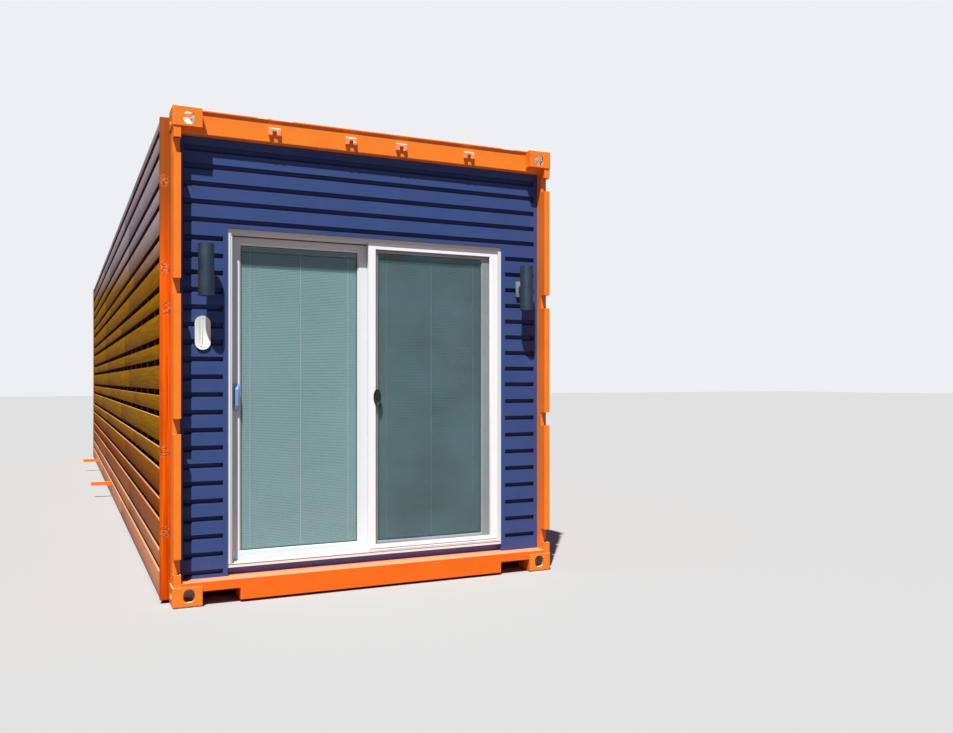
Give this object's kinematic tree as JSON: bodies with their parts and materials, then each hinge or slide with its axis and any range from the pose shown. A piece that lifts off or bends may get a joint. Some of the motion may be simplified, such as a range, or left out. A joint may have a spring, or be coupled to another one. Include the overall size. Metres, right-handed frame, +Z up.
{
  "type": "shipping container cabin",
  "caption": "High-cube container cabin with a grooved front wall, a sliding glazed patio door with insect screen, and timber boards along one side.",
  "frame": {"origin": "centre of the bounding box at the underside of the bottom castings", "axes": "+Z up, -Y out of the door end, +X to the right when facing the door end from outside"},
  "size_m": [2.692, 12.2299, 2.896],
  "materials": {
    "orange_paint": "semi-gloss enamel, chalked and chipped",
    "navy_paint": "satin wall paint",
    "galvanised_bar": "worn orange enamel",
    "stained_board": "oiled, weathered",
    "stained_trim": "oiled, knotty",
    "rough_batten": "rough sawn",
    "floor_plywood": "varnished",
    "lining_board": "painted flat",
    "white_vinyl": "smooth extruded",
    "door_glass": "clear, faintly green",
    "screen_mesh": "woven fibre mesh",
    "black_plastic": "moulded",
    "blind_slat": "satin slats",
    "charcoal_paint": "powder coat",
    "dial_plate": "white enamel"
  },
  "bodies": {
    "cabin": {"front_bottom_castings": "orange_paint", "front_top_castings": "orange_paint", "rear_bottom_castings": "orange_paint", "rear_top_castings": "orange_paint", "front_left_post": "orange_paint", "front_right_post": "orange_paint", "rear_corner_posts": "orange_paint", "door_header": "orange_paint", "cam_keepers": "orange_paint", "door_sill": "orange_paint", "threshold_strip": "navy_paint", "front_wall_left": "navy_paint", "front_wall_over_door": "navy_paint", "front_wall_right": "navy_paint", "top_side_rails": "orange_paint", "bottom_side_rails": "orange_paint", "rear_top_rail": "orange_paint", "rear_bottom_rail": "orange_paint", "left_side_panel": "orange_paint", "right_side_panel": "orange_paint", "rear_end_panel": "orange_paint", "roof_panel": "orange_paint", "cross_members": "orange_paint", "floor_deck": "floor_plywood", "wall_linings": "lining_board", "ceiling_lining": "lining_board", "cladding_battens": "rough_batten", "cladding_boards": "stained_board", "cladding_trims": "stained_trim", "cladding_brackets": "galvanised_bar", "door_frame": "white_vinyl", "fixed_sash": "white_vinyl", "fixed_glass": "door_glass", "right_blind": "blind_slat", "wall_lamps": "charcoal_paint", "wall_thermometer": "dial_plate"},
    "sliding_leaf": {"sliding_sash": "white_vinyl", "sliding_glass": "door_glass", "sash_handle": "white_vinyl", "left_blind": "blind_slat"},
    "insect_screen": {"screen_frame": "white_vinyl", "screen_mesh": "screen_mesh", "screen_latch": "black_plastic"}
  },
  "joints": [
    {"name": "leaf_slide", "type": "slide", "parent": "cabin", "child": "sliding_leaf", "axis": [1, 0, 0], "range_m": [0, 0.793]},
    {"name": "screen_slide", "type": "slide", "parent": "cabin", "child": "insect_screen", "axis": [-1, 0, 0], "range_m": [0, 0.846]}
  ]
}
